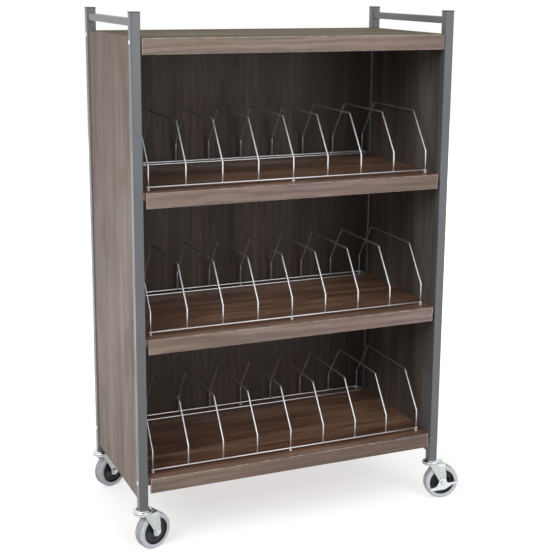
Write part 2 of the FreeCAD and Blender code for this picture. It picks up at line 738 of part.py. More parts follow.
# ---- all nodes ----------------------------------------------------------------------------
def cabinet_nodes():
    """Nodes of the fixed cabinet."""
    nodes = {}
    for side in ("left", "right"):
        nodes[side + "_side_panel"] = side_panel(side)
        nodes[side + "_handle_bar"] = handle_bar(side)
    for name in BOARDS:
        nodes[name] = board(name)
        nodes[name + "_lip"] = lip(name)
    for corner in POSTS:
        nodes[corner + "_post"] = post(corner)
    nodes["back_panel"] = back_panel()
    nodes["post_caps"] = [cap(corner) for corner in POSTS]
    nodes["post_bolts"] = [bolt(name, corner) for name in BOLTED for corner in POSTS]
    nodes["shelf_dowels"] = [dowel(name, side, y, 0) for name in BOARDS
                             for side, y in dowel_places()]
    nodes["back_panel_screws"] = [screw(name, x) for name in SHELVES for x in screw_places()]
    return nodes


def rack_nodes():
    """Nodes of the three wire racks."""
    nodes = {"rack_feet": []}
    for name in SHELVES:
        level = name.replace("_shelf", "")
        front, rear, dividers, feet = rack(name)
        nodes[level + "_front_rail"] = front
        nodes[level + "_rear_rail"] = rear
        nodes[level + "_dividers"] = dividers
        nodes["rack_feet"] += feet
    return nodes


def caster_nodes():
    """Nodes of the four casters, parked under their posts."""
    nodes = {"stem_sockets": [socket(corner) for corner in POSTS]}
    for node, shape in {"caster_cups": cup(), "caster_stems": stem()}.items():
        nodes[node] = [parked(shape, corner) for corner in POSTS]
    moving = {"_fork": fork(), "_hub": hub(), "_tyre": tyre()}
    for corner in POSTS:
        for ending, shape in moving.items():
            nodes[corner + ending] = parked(shape, corner)
        nodes[corner + "_axle"] = [parked(piece, corner) for piece in axle(corner in BRAKED)]
        if corner in BRAKED:
            nodes[corner + "_brake_lever"] = parked(brake_lever(), corner)
    return nodes


def write(nodes):
    """Write one STEP file for each node, in the part's frame."""
    os.makedirs("parts", exist_ok=True)
    shapes = {}
    for node, made in nodes.items():
        shapes[node] = Part.makeCompound(made) if isinstance(made, list) else made
    shift = frame_shift(shapes.values())
    for node, shape in shapes.items():
        shape.translate(shift)
        shape.exportStep("parts/" + node + ".step")
    return shapes


NODES = write({**cabinet_nodes(), **rack_nodes(), **caster_nodes()})
BOX = Part.makeCompound(list(NODES.values())).optimalBoundingBox(False)
print(len(NODES), "nodes, overall", [round(v, 2) for v in (BOX.XLength, BOX.YLength, BOX.ZLength)])
print("corners", [round(v, 2) for v in (BOX.XMin, BOX.YMin, BOX.ZMin, BOX.XMax, BOX.YMax, BOX.ZMax)])
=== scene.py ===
import bmesh
import bpy
import math
from mathutils import Matrix, Vector


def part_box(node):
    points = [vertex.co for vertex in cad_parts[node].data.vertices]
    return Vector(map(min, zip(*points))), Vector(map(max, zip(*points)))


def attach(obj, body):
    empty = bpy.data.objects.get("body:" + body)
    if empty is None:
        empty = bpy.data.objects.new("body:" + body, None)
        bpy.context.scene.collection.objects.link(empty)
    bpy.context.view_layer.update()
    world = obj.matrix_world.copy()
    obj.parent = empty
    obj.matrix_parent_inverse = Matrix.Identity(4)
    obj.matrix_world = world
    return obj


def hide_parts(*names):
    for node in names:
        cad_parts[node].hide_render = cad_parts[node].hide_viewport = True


# Mobile chart rack. Metres, +X to the right, +Y to the back, +Z up, origin on the floor.
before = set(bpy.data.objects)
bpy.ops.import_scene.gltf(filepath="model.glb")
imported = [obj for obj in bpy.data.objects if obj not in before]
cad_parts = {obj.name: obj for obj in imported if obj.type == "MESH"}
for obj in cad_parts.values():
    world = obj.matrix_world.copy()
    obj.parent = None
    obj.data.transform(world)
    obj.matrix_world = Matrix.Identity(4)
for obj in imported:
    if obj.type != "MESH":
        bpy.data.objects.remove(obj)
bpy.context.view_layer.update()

# ---- side panels --------------------------------------------------------------------------
# Two upright 19 mm particle boards, faced with walnut-pattern laminate whose grain runs up and
# down. Each stands between a front and a rear post, is dowelled to the boards, and has a darker
# edge band pressed on its top and bottom edges.


def tone(red, green, blue):
    """A colour written as 0 to 255 screen values, as the renderer wants it."""
    parts = [c / 255 for c in (red, green, blue)]
    return [c / 12.92 if c <= 0.04045 else ((c + 0.055) / 1.055) ** 2.4 for c in parts] + [1.0]


def feed(tree, socket, value):
    """Links a socket into another, or sets a plain value on it."""
    if isinstance(value, bpy.types.NodeSocket):
        tree.links.new(value, socket)
    else:
        socket.default_value = value


def add(tree, kind, settings=None, **inputs):
    """Adds a shader node. Inputs are named, with _ for a space, or numbered as i0, i1, i2."""
    made = tree.nodes.new("ShaderNode" + kind)
    for key, value in (settings or {}).items():
        setattr(made, key, value)
    for key, value in inputs.items():
        numbered = key[0] == "i" and key[1:].isdigit()
        feed(tree, made.inputs[int(key[1:])] if numbered else made.inputs[key.replace("_", " ")], value)
    return made


def maths(tree, operation, first, second=0.0):
    """One Math node's result."""
    return add(tree, "Math", {"operation": operation}, i0=first, i1=second).outputs[0]


def vectors(tree, operation, first, second=(0, 0, 0)):
    """One Vector Math node's result."""
    return add(tree, "VectorMath", {"operation": operation}, i0=first, i1=second).outputs[0]


def ramp(tree, value, low, high, to_low=0.0, to_high=1.0):
    """A value eased from one range to another, and held at its ends."""
    eased = add(tree, "MapRange", {"interpolation_type": "SMOOTHSTEP"}, i0=value, i1=low, i2=high,
                i3=to_low, i4=to_high)
    return eased.outputs[0]


def mixed(tree, share, first, second, how="MIX"):
    """Two colours mixed by a share of the second."""
    made = add(tree, "Mix", {"data_type": "RGBA", "blend_type": how}, i0=share, i6=first, i7=second)
    return made.outputs[2]


def noise(tree, vector, scale, detail=2.0, rough=0.5, bend=0.0):
    """A noise value over the surface."""
    return add(tree, "TexNoise", Vector=vector, Scale=scale, Detail=detail, Roughness=rough,
               Distortion=bend).outputs[0]


def node_group(name, takes, gives):
    """An empty node group with named sockets, and its input and output nodes."""
    tree = bpy.data.node_groups.new(name, "ShaderNodeTree")
    for label, kind in takes.items():
        tree.interface.new_socket(label, in_out="INPUT", socket_type="NodeSocket" + kind)
    for label, kind in gives.items():
        tree.interface.new_socket(label, in_out="OUTPUT", socket_type="NodeSocket" + kind)
    return tree, tree.nodes.new("NodeGroupInput").outputs, tree.nodes.new("NodeGroupOutput").inputs


def use(tree, group, **inputs):
    """Places a node group with its own values, and returns its outputs."""
    made = add(tree, "Group", {"node_tree": group}, **inputs)
    return made.outputs


def new_finish(name, **inputs):
    """A material with its shader's plain values set: its tree, its shader and its coordinates."""
    material = bpy.data.materials.new(name)
    material.use_nodes = True
    tree = material.node_tree
    shader = tree.nodes["Principled BSDF"]
    for key, value in inputs.items():
        shader.inputs[key.replace("_", " ")].default_value = value
    return material, tree, shader, add(tree, "TexCoord").outputs["Object"]


def raise_grain(tree, shader, height, depth, strength=1.0):
    """Feeds a height over the surface to the shader's normal."""
    bump = add(tree, "Bump", Height=height, Strength=strength, Distance=depth)
    tree.links.new(bump.outputs[0], shader.inputs["Normal"])


def dress(name, material):
    """Gives a frame node its finish."""
    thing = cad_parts[name]
    thing.data.materials.clear()
    thing.data.materials.append(material)


# printed woodgrain, its grain along the third coordinate
laminate_grain, takes, gives = node_group(
    "laminate_grain",
    {"Vector": "Vector", "Pale": "Color", "Deep": "Color", "Warm": "Color", "Figure": "Float"},
    {"Color": "Color", "Height": "Float"})
tree = laminate_grain
bands = noise(tree, vectors(tree, "MULTIPLY", takes["Vector"], (1, 1, 0.07)), 11.0, 3.0, 0.55, 0.4)
waved = vectors(tree, "MULTIPLY", takes["Vector"], (1, 1, 0.11))
figure = add(tree, "TexWave", {"bands_direction": "X", "wave_profile": "SIN"}, Vector=waved,
             Scale=14.0, Distortion=11.0, Detail=3.0, Detail_Scale=1.3, Detail_Roughness=0.6)
streaks = noise(tree, vectors(tree, "MULTIPLY", takes["Vector"], (1, 1, 0.025)), 120.0, 5.0, 0.7)
pores = noise(tree, vectors(tree, "MULTIPLY", takes["Vector"], (1, 1, 0.045)), 1400.0, 2.0, 0.6)
broad = ramp(tree, bands, 0.32, 0.68)
lined = maths(tree, "MULTIPLY", ramp(tree, figure.outputs["Fac"], 0.15, 0.95), takes["Figure"])
ground = mixed(tree, broad, takes["Deep"], takes["Pale"])
ground = mixed(tree, lined, ground, takes["Deep"])
ground = mixed(tree, maths(tree, "MULTIPLY", ramp(tree, streaks, 0.4, 0.72), 0.7), ground, takes["Warm"])
open_pores = ramp(tree, pores, 0.56, 0.7)
ground = mixed(tree, maths(tree, "MULTIPLY", open_pores, 0.35), ground,
               mixed(tree, 0.55, takes["Deep"], (0.0, 0.0, 0.0, 1.0)))
hues = noise(tree, vectors(tree, "MULTIPLY", takes["Vector"], (1, 1, 0.03)), 46.0)
tint = mixed(tree, ramp(tree, hues, 0.4, 0.6), (1.0, 0.95, 0.975, 1.0), (0.97, 1.0, 0.9, 1.0))
ground = mixed(tree, 1.0, ground, tint, "MULTIPLY")
tree.links.new(ground, gives["Color"])
tree.links.new(maths(tree, "SUBTRACT", maths(tree, "MULTIPLY", streaks, 0.5), open_pores), gives["Height"])

# edges of a square piece, for rubbed wear and for painted highlights: 1 at its edges and 0 further in than
# the width
edge_mask, takes, gives = node_group(
    "edge_mask",
    {"Vector": "Vector", "Middle": "Vector", "Half": "Vector", "Width": "Float"},
    {"Mask": "Float"})
tree = edge_mask
inside = vectors(tree, "ABSOLUTE", vectors(tree, "SUBTRACT", takes["Vector"], takes["Middle"]))
inside = vectors(tree, "SUBTRACT", takes["Half"], inside)
away = add(tree, "SeparateXYZ", Vector=inside).outputs
nearest = maths(tree, "MINIMUM", away[0], away[1])
further = maths(tree, "MAXIMUM", away[0], away[1])
second = maths(tree, "MAXIMUM", nearest, maths(tree, "MINIMUM", further, away[2]))
uneven = ramp(tree, noise(tree, takes["Vector"], 55.0, 4.0), 0.3, 0.75, 0.4, 1.0)
ragged = maths(tree, "MULTIPLY", takes["Width"], uneven)
tree.links.new(ramp(tree, second, 0.0, ragged, 1.0, 0.0), gives["Mask"])

# hand marks and wiping, which change the gloss in clouds
smudges, takes, gives = node_group("smudges", {"Vector": "Vector", "Scale": "Float"}, {"Mask": "Float"})
tree = smudges
clouds = noise(tree, takes["Vector"], takes["Scale"], 4.0, 0.6, 0.6)
wiped = noise(tree, vectors(tree, "MULTIPLY", takes["Vector"], (9, 9, 2)), takes["Scale"], 2.0)
handled = maths(tree, "MULTIPLY", ramp(tree, clouds, 0.3, 0.7), ramp(tree, wiped, 0.2, 0.8))
tree.links.new(handled, gives["Mask"])


def coloured(tree, shader, share, first, second):
    """Gives a finish a colour between two."""
    tree.links.new(mixed(tree, share, first, second), shader.inputs["Base Color"])


def smudged(tree, shader, where, scale, clean, dull):
    """Gives a finish a gloss that hand marks change, and returns the marks."""
    marks = use(tree, smudges, Vector=where, Scale=scale)["Mask"]
    tree.links.new(ramp(tree, marks, 0.0, 0.8, clean, dull), shader.inputs["Roughness"])
    return marks


UPRIGHT = (0.0, 0.0, 0.0)               # grain up and down
LEVEL = (0.0, math.radians(90), 0.0)    # grain from side to side


def laminate(name, node, grain_turn, pale, deep, warm, figure, gloss, sheen=0.5,
             edge=None, rub_and_highlight=0.3, width=0.0016):
    """Woodgrain laminate for one board, with its own stretch of the pattern and paler edges: rubbed wear,
    and a painted highlight where the edge tone and its share are raised.
    """
    low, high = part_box(node)
    material, tree, shader, where = new_finish(name, IOR=1.5, Specular_IOR_Level=sheen,
                                               Coat_Weight=0.24 * sheen, Coat_Roughness=0.22)
    start = (low.z * 3.1, low.x * 2.3 + low.y * 5.7, low.z * 7.9)
    laid = add(tree, "Mapping", Vector=where, Rotation=grain_turn, Location=start).outputs[0]
    grain = use(tree, laminate_grain, Vector=laid, Pale=pale, Deep=deep, Warm=warm, Figure=figure)
    at_edges = use(tree, edge_mask, Vector=where, Middle=(low + high) / 2, Half=(high - low) / 2,
               Width=width)["Mask"]
    # edges turn paler: rubbed wear on every board, and on the lips a painted highlight
    coloured(tree, shader, maths(tree, "MULTIPLY", at_edges, rub_and_highlight), grain["Color"], edge or pale)
    marks = use(tree, smudges, Vector=where, Scale=5.0)["Mask"]
    shine = ramp(tree, marks, 0.0, 0.8, gloss, gloss + 0.14)
    dulled = maths(tree, "ADD", shine, maths(tree, "MULTIPLY", at_edges, 0.12))
    tree.links.new(dulled, shader.inputs["Roughness"])
    raise_grain(tree, shader, grain["Height"], 0.00025, 0.6)
    return material


for side, inward in (("left", 1.0), ("right", -1.0)):
    node = side + "_side_panel"
    finish = laminate("side_laminate_" + side, node, UPRIGHT, tone(150, 130, 122), tone(98, 81, 73),
                      tone(142, 113, 101), 0.5, 0.42, 0.16)
    tree = finish.node_tree
    shader = tree.nodes["Principled BSDF"]
    turned_to = add(tree, "SeparateXYZ", Vector=add(tree, "NewGeometry").outputs["Normal"]).outputs
    # painted shade: inside the cabinet the faces are painted darker and greyer than the same print
    inner = ramp(tree, maths(tree, "MULTIPLY", turned_to[0], inward), 0.6, 0.95)
    print_colour = shader.inputs["Base Color"].links[0].from_socket
    painted_shade_colour = mixed(tree, 1.0, print_colour, (0.6, 0.76, 0.84, 1.0), "MULTIPLY")
    face_colour = mixed(tree, inner, print_colour, painted_shade_colour)
    # the edge band is a plainer, darker strip than the printed faces
    banded = ramp(tree, maths(tree, "ABSOLUTE", turned_to[2]), 0.6, 0.95)
    coloured(tree, shader, banded, face_colour, tone(98, 80, 68))
    dress(node, finish)

# ---- shelves and top ----------------------------------------------------------------------
# Three shelves and the top, 19 mm laminated boards notched round the posts. Their grain runs
# from side to side. The shelves have a strong brown figure, and the top is matt, painted greyer
# and paler as a painted reflection of the white surround at a grazing angle.
SHELVES = ("bottom_shelf", "middle_shelf", "upper_shelf")
for node in SHELVES:
    finish = laminate("laminate_" + node, node, LEVEL, tone(182, 144, 120), tone(84, 61, 51),
                      tone(158, 112, 86), 0.65, 0.4)
    dress(node, finish)

# painted reflection: the top's greyer, paler tones stand for the surround's grazing glare, and its own
# sheen is nearly off
finish = laminate("laminate_top", "top_board", LEVEL, tone(146, 140, 122), tone(108, 102, 88),
                  tone(130, 118, 102), 0.4, 0.7, 0.02)
dress("top_board", finish)

# ---- lip strips ---------------------------------------------------------------------------
# A deeper strip of the same laminate, glued on the front edge of each board to stiffen it. Its
# two long front edges are rounded over and painted much paler, as a highlight along the rounding,
# over a little rubbed wear.
for board in SHELVES + ("top_board",):
    # the pale edge tone and its strong share are a painted highlight along the rounded front edges
    finish = laminate("lip_laminate_" + board, board + "_lip", LEVEL, tone(156, 137, 130),
                      tone(92, 73, 65), tone(140, 107, 94), 0.7, 0.34,
                      edge=tone(206, 186, 178), rub_and_highlight=0.85, width=0.0034)
    dress(board + "_lip", finish)

# ---- dowels -------------------------------------------------------------------------------
# Plain beech dowels, glued across the joints of the boards and the side panels. They are
# hidden once the cabinet is together.
dowel_wood, tree, shader, where = new_finish("dowel_wood", Roughness=0.7)
fibres = noise(tree, vectors(tree, "MULTIPLY", where, (0.05, 1, 1)), 900.0, 4.0, 0.65)
coloured(tree, shader, ramp(tree, fibres, 0.35, 0.65), tone(186, 152, 112), tone(214, 186, 146))
raise_grain(tree, shader, fibres, 0.0002)
dress("shelf_dowels", dowel_wood)

# ---- back panel and its screws ------------------------------------------------------------
# A thin hardboard panel with a dark walnut print, set between the rear posts and screwed to the
# boards' rear edges. The screws are zinc plated, with a low pan head and a cross recess.
finish = laminate("laminate_back", "back_panel", UPRIGHT, tone(87, 76, 70), tone(48, 43, 40),
                  tone(69, 57, 50), 0.5, 0.5, 0.25)
dress("back_panel", finish)

MM = 0.001


def let_go():
    """Leaves no piece selected."""
    bpy.ops.object.select_all(action="DESELECT")


def settle():
    """Takes the selected piece's place, turn and scale into its mesh."""
    bpy.ops.object.transform_apply(location=True, rotation=True, scale=True)


def pick_all():
    """Selects all of the piece in hand."""
    bpy.ops.mesh.select_all(action="SELECT")


def take_up(thing):
    """Opens one piece for shaping, with nothing of it selected."""
    let_go()
    thing.select_set(True)
    bpy.context.view_layer.objects.active = thing
    bpy.ops.object.mode_set(mode="EDIT")
    bpy.ops.mesh.select_all(action="DESELECT")


def put_down():
    """Closes the piece in hand."""
    bpy.ops.object.mode_set(mode="OBJECT")


def pick(thing, kind, test):
    """Selects only the vertices, edges or faces of the piece in hand that pass a test."""
    bpy.ops.mesh.select_mode(type=kind)
    bpy.ops.mesh.select_all(action="DESELECT")
    mesh = bmesh.from_edit_mesh(thing.data)
    for part in {"VERT": mesh.verts, "EDGE": mesh.edges, "FACE": mesh.faces}[kind]:
        if test(part):
            part.select_set(True)
    mesh.select_flush_mode()
    bmesh.update_edit_mesh(thing.data)


def close_up(thing, smooth=35.0):
    """Merges doubles, turns the faces outwards and shades the piece in hand."""
    pick_all()
    bpy.ops.mesh.remove_doubles(threshold=0.00001)
    bpy.ops.mesh.normals_make_consistent(inside=False)
    put_down()
    settle()
    bpy.ops.object.shade_smooth_by_angle(angle=math.radians(smooth))
    return thing


def draw_out(step):
    """Extrudes what is selected."""
    bpy.ops.mesh.extrude_region_move(TRANSFORM_OT_translate={"value": step})


def turned(profile, steps=48, closed=False):
    """A piece turned about Z, ring by ring, from (radius, height) pairs in millimetres."""
    radius, height = profile[0]
    let_go()
    bpy.ops.mesh.primitive_circle_add(vertices=steps, radius=radius * MM, location=(0, 0, height * MM))
    thing = bpy.context.active_object
    take_up(thing)
    bpy.ops.mesh.select_mode(type="EDGE")
    pick_all()
    for next_radius, next_height in profile[1:]:
        draw_out((0, 0, (next_height - height) * MM))
        wider = next_radius / radius
        bpy.ops.transform.resize(value=(wider, wider, 1), center_override=(0, 0, next_height * MM))
        radius, height = next_radius, next_height
    bpy.ops.mesh.select_all(action="DESELECT")
    bpy.ops.mesh.select_non_manifold()
    if closed:
        bpy.ops.mesh.bridge_edge_loops()
    else:
        bpy.ops.mesh.fill_holes(sides=0)
    return close_up(thing)


def trim_with(thing, kind, **settings):
    """Adds a modifier to a piece and applies it."""
    let_go()
    thing.select_set(True)
    bpy.context.view_layer.objects.active = thing
    made = thing.modifiers.new(kind.lower(), kind)
    for key, value in settings.items():
        setattr(made, key, value)
    bpy.ops.object.modifier_apply(modifier=made.name)


def cut_out(thing, cutter):
    """Cuts one piece out of another and throws the cutter away."""
    trim_with(thing, "BOOLEAN", operation="DIFFERENCE", object=cutter, solver="EXACT")
    bpy.data.objects.remove(cutter)


def block(size, middle):
    """A plain box in millimetres, used as a cutter or a blank."""
    let_go()
    bpy.ops.mesh.primitive_cube_add(size=1.0, location=[v * MM for v in middle])
    thing = bpy.context.active_object
    thing.scale = [v * MM for v in size]
    settle()
    return thing


def copied(thing, matrix):
    """A copy of a finished piece, with its own mesh set in its place."""
    made = bpy.data.objects.new(thing.name, thing.data.copy())
    bpy.context.scene.collection.objects.link(made)
    made.data.transform(matrix)
    return made


def joined(things):
    """Joins pieces into one mesh."""
    let_go()
    for thing in things:
        thing.select_set(True)
    bpy.context.view_layer.objects.active = things[0]
    bpy.ops.object.join()
    return things[0]


def fit(thing, name, material, slot, body, *nodes):
    """Names a piece, gives it its finish, and lets it ride in place of frame nodes."""
    thing.name = name
    thing.data.name = name
    thing.data.materials.clear()
    thing.data.materials.append(material)
    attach(thing, body)
    if nodes:
        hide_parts(*nodes)


def facing(direction, place):
    """The placing of a piece made about Z, so that its Z points in a direction."""
    turn = Vector(direction).to_track_quat("Z", "Y").to_matrix().to_4x4()
    return Matrix.Translation(Vector(place)) @ turn


bright_steel, tree, shader, where = new_finish("bright_steel", Metallic=1.0)
stain = noise(tree, where, 240.0, 4.0)
coloured(tree, shader, ramp(tree, stain, 0.3, 0.7), tone(196, 198, 200), tone(222, 224, 226))
smudged(tree, shader, where, 60.0, 0.2, 0.38)
raise_grain(tree, shader, stain, 0.00004)

SCREWS_PER_BOARD = 4
SCREW = [(0.3, -25.5), (1.3, -22), (1.8, -19), (1.8, 0), (3.5, 0), (3.8, 0.3), (3.8, 0.8), (3.6, 1.3),
         (3.1, 1.8), (2.3, 2.1), (1.2, 2.2)]
SLIT = (3.6, 0.8, 1.6)      # one arm of the cross recess
SLIT_Z = 2.0
screw = turned(SCREW, 24)
for turn in (0, 90):
    slit = block(SLIT, (0, 0, SLIT_Z))
    slit.rotation_euler.z = math.radians(turn)
    cut_out(screw, slit)
panel_low, panel_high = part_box("back_panel")
screws = []
for board in SHELVES:
    low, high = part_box(board)
    for k in range(SCREWS_PER_BOARD):
        across = panel_low.x + (panel_high.x - panel_low.x) * (k + 0.5) / SCREWS_PER_BOARD
        place = (across, panel_high.y, (low.z + high.z) / 2)
        # each screw stops at its own turn
        twist = Matrix.Rotation(math.radians(17 + 37 * len(screws)), 4, "Z")
        screws.append(copied(screw, facing((0, 1, 0), place) @ twist))
bpy.data.objects.remove(screw)
fit(joined(screws), "panel_screws", bright_steel, "bright_steel", "cabinet", "back_panel_screws")

# ---- posts --------------------------------------------------------------------------------
# Four lengths of 25.4 mm square steel tube, powder coated grey in one piece with the bars. The
# coat has a fine orange peel and is polished a little paler on the corners.


def grey_paint(name, node):
    """Powder coat on one square tube."""
    low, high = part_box(node)
    material, tree, shader, where = new_finish(name, IOR=1.5, Coat_Weight=0.25, Coat_Roughness=0.15)
    at_edges = use(tree, edge_mask, Vector=where, Middle=(low + high) / 2, Half=(high - low) / 2,
               Width=0.0022)["Mask"]
    cast = ramp(tree, noise(tree, where, 2.4, 3.0), 0.35, 0.65)
    coat = mixed(tree, cast, tone(91, 93, 96), tone(99, 101, 106))
    coloured(tree, shader, maths(tree, "MULTIPLY", at_edges, 0.45), coat, tone(134, 135, 138))
    smudged(tree, shader, where, 7.0, 0.34, 0.5)
    raise_grain(tree, shader, noise(tree, where, 900.0, 2.0, 0.5), 0.00012, 0.6)
    return material


CORNERS = ("front_left", "front_right", "rear_left", "rear_right")
for corner in CORNERS:
    dress(corner + "_post", grey_paint("grey_paint_" + corner, corner + "_post"))

# ---- handle bars --------------------------------------------------------------------------
# A 19 mm square tube welded level between the front and the rear post of each side, for pushing
# and steering. A small rippled bead runs round each end, and bar and bead are coated with the
# posts.
RIPPLES = 9                 # in the bead along one face of the bar
RIPPLE_R = 1.25 * MM
RIPPLE_INSET = 2.0 * MM     # outermost ripple's middle from the bar's corner
RIPPLE_PROUD = 0.2 * MM

let_go()
bpy.ops.mesh.primitive_uv_sphere_add(segments=10, ring_count=6, radius=RIPPLE_R)
ripple = bpy.context.active_object
take_up(ripple)
pick(ripple, "VERT", lambda v: v.co.x > 0.3 * MM)
bpy.ops.transform.resize(value=(0.7, 1.25, 1.0), center_override=(0, 0, 0))
close_up(ripple, 60.0)
for side in ("left", "right"):
    node = side + "_handle_bar"
    coat = grey_paint("grey_paint_bar_" + side, node)
    dress(node, coat)
    low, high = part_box(node)
    middle = (low + high) / 2
    half = (high.x - low.x) / 2
    beads = []
    for end in (low.y, high.y):
        for quarter in range(4):
            turn = Matrix.Rotation(math.radians(90 * quarter), 4, "Y")
            for k in range(RIPPLES):
                along = (k - (RIPPLES - 1) / 2) * 2 * (half - RIPPLE_INSET) / (RIPPLES - 1)
                spot = turn @ Vector((along, 0, half + RIPPLE_PROUD))
                place = Matrix.Translation(Vector((middle.x, end, middle.z)) + spot)
                beads.append(copied(ripple, place @ turn))
    fit(joined(beads), side + "_bar_welds", coat, "grey_paint", "cabinet")
bpy.data.objects.remove(ripple)

# ---- post caps ----------------------------------------------------------------------------
# Moulded dark plastic caps with a slightly raised top and a plug, pressed into the posts' open
# tops. The cap's edge stands a little over the tube all round.
dark_plastic, tree, shader, where = new_finish("dark_plastic", IOR=1.46)
mottle = noise(tree, where, 160.0, 3.0)
coloured(tree, shader, ramp(tree, mottle, 0.3, 0.7), tone(70, 72, 74), tone(84, 85, 88))
smudged(tree, shader, where, 30.0, 0.4, 0.56)
raise_grain(tree, shader, noise(tree, where, 2600.0, 1.0), 0.00006)

CAP = (26.4, 26.4, 2.4)     # across, deep and tall, without the steps
CAP_BOTTOM = 0.3            # over the post's end
CAP_ROUND = 2.4 * MM
cap = block(CAP, (0, 0, CAP_BOTTOM + CAP[2] / 2))
take_up(cap)
pick(cap, "EDGE", lambda e: abs(e.verts[0].co.z - e.verts[1].co.z) > 1.0 * MM)
bpy.ops.mesh.bevel(offset=CAP_ROUND, segments=4, affect="EDGES")
# the top steps in and up from the side, and the plug steps in and down, by shares of the size
for way, steps in ((1, ((0.5, 0.985), (0.45, 0.955), (0.2, 0.9), (0.15, 0.6))),
                   (-1, ((0.3, 0.985), (0.0, 0.83), (14.0, 0.99), (0.6, 0.93)))):
    pick(cap, "FACE", lambda f: f.normal.z * way > 0.9)
    for rise, share in steps:
        draw_out((0, 0, way * rise * MM))
        bpy.ops.transform.resize(value=(share, share, 1), center_override=(0, 0, 0))
close_up(cap, 30.0)
caps = []
for corner in CORNERS:
    low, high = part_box(corner + "_post")
    caps.append(copied(cap, Matrix.Translation(((low.x + high.x) / 2, (low.y + high.y) / 2, high.z))))
bpy.data.objects.remove(cap)
fit(joined(caps), "tube_caps", dark_plastic, "dark_plastic", "cabinet", "post_caps")

# ---- bolts --------------------------------------------------------------------------------
# Dome-head steel bolts with a hexagon socket, through the posts into the ends of the top and
# the bottom board.
BOLT = [(2.3, -59), (3.0, -58), (3.0, -0.1), (6.3, -0.1), (6.5, 0.2), (6.45, 0.6), (6.1, 1.25),
        (5.3, 2.0), (4.2, 2.55), (3.0, 2.9), (2.0, 3.0)]
KEY_R = 2.3 * MM            # hexagon socket, over its corners
KEY_TALL = 3.2 * MM
KEY_Z = 2.6 * MM
bolt = turned(BOLT, 32)
let_go()
bpy.ops.mesh.primitive_cylinder_add(vertices=6, radius=KEY_R, depth=KEY_TALL, location=(0, 0, KEY_Z))
cut_out(bolt, bpy.context.active_object)
bolts = []
for board in ("bottom_shelf", "top_board"):
    board_low, board_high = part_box(board)
    for corner in CORNERS:
        low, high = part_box(corner + "_post")
        outward = -1 if "left" in corner else 1
        place = (low.x if outward < 0 else high.x, (low.y + high.y) / 2,
                 (board_low.z + board_high.z) / 2)
        twist = Matrix.Rotation(math.radians(11 + 23 * len(bolts)), 4, "Z")
        bolts.append(copied(bolt, facing((outward, 0, 0), place) @ twist))
bpy.data.objects.remove(bolt)
fit(joined(bolts), "dome_bolts", bright_steel, "bright_steel", "cabinet", "post_bolts")

# ---- wire racks ---------------------------------------------------------------------------
# On every shelf nine bent dividers stand on a straight front rail and on the rear run of a
# looped rear rail. All of it is 4.8 mm drawn steel wire, spot welded where it meets and then
# plated to a soft silver.
plated_wire, tree, shader, where = new_finish("plated_wire", Metallic=0.8, IOR=1.7)
drawn = noise(tree, where, 420.0, 3.0)
coloured(tree, shader, ramp(tree, drawn, 0.3, 0.7), tone(198, 199, 202), tone(224, 224, 228))
smudged(tree, shader, where, 24.0, 0.3, 0.46)
raise_grain(tree, shader, drawn, 0.00005)

WIRE_R = 2.4 * MM
WIRE_SIDES = 14
END_SHARE = 0.6             # a wire's end face as a share of its thickness
END_LONG = WIRE_R * 0.35    # length of its rounded end


def start_wire(place, direction):
    """The rounded end of a wire, its last ring selected for the next run."""
    let_go()
    direction = direction.normalized()
    bpy.ops.mesh.primitive_circle_add(vertices=WIRE_SIDES, radius=WIRE_R * END_SHARE, location=place,
                                      rotation=direction.to_track_quat("Z", "Y").to_euler())
    thing = bpy.context.active_object
    settle()
    take_up(thing)
    bpy.ops.mesh.select_mode(type="EDGE")
    pick_all()
    onward = direction * END_LONG
    draw_out(onward)
    bpy.ops.transform.resize(value=(1 / END_SHARE,) * 3, center_override=place + onward)
    return thing, place + onward


def bent_wire(points, bend):
    """A wire through points, pulled straight between them and spun round its inner corners."""
    points = [Vector(p) for p in points]
    thing, here = start_wire(points[0], points[1] - points[0])
    for before, corner, after in zip(points, points[1:], points[2:]):
        coming = (corner - before).normalized()
        going = (after - corner).normalized()
        turn = coming.angle(going)
        reach = bend * math.tan(turn / 2)
        enter = corner - coming * reach
        axis = coming.cross(going).normalized()
        middle = enter + axis.cross(coming) * bend
        draw_out(enter - here)
        bpy.ops.mesh.spin(steps=5, angle=turn, center=middle, axis=-axis)
        here = corner + going * reach
    onward = (points[-1] - points[-2]).normalized() * END_LONG
    draw_out(points[-1] - onward - here)
    draw_out(onward)
    bpy.ops.transform.resize(value=(END_SHARE,) * 3, center_override=points[-1])
    bpy.ops.mesh.select_all(action="DESELECT")
    bpy.ops.mesh.select_non_manifold()
    bpy.ops.mesh.fill_holes(sides=0)
    return close_up(thing, 50.0)


rail_low, rail_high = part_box("bottom_front_rail")
loop_low, loop_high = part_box("bottom_rear_rail")
hoops_low, hoops_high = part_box("bottom_dividers")
RAIL_Z = (rail_low.z + rail_high.z) / 2
FRONT_Y = (rail_low.y + rail_high.y) / 2
REAR_Y = loop_high.y - WIRE_R
LOOP_Y = loop_low.y + WIRE_R
DIVIDERS = 9
FIRST_X = hoops_low.x + WIRE_R
PITCH_X = (hoops_high.x - hoops_low.x - 2 * WIRE_R) / (DIVIDERS - 1)
shelf_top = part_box("bottom_shelf")[1].z
LEVELS = {"bottom": 0.0, "middle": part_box("middle_shelf")[1].z - shelf_top,
          "upper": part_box("upper_shelf")[1].z - shelf_top}

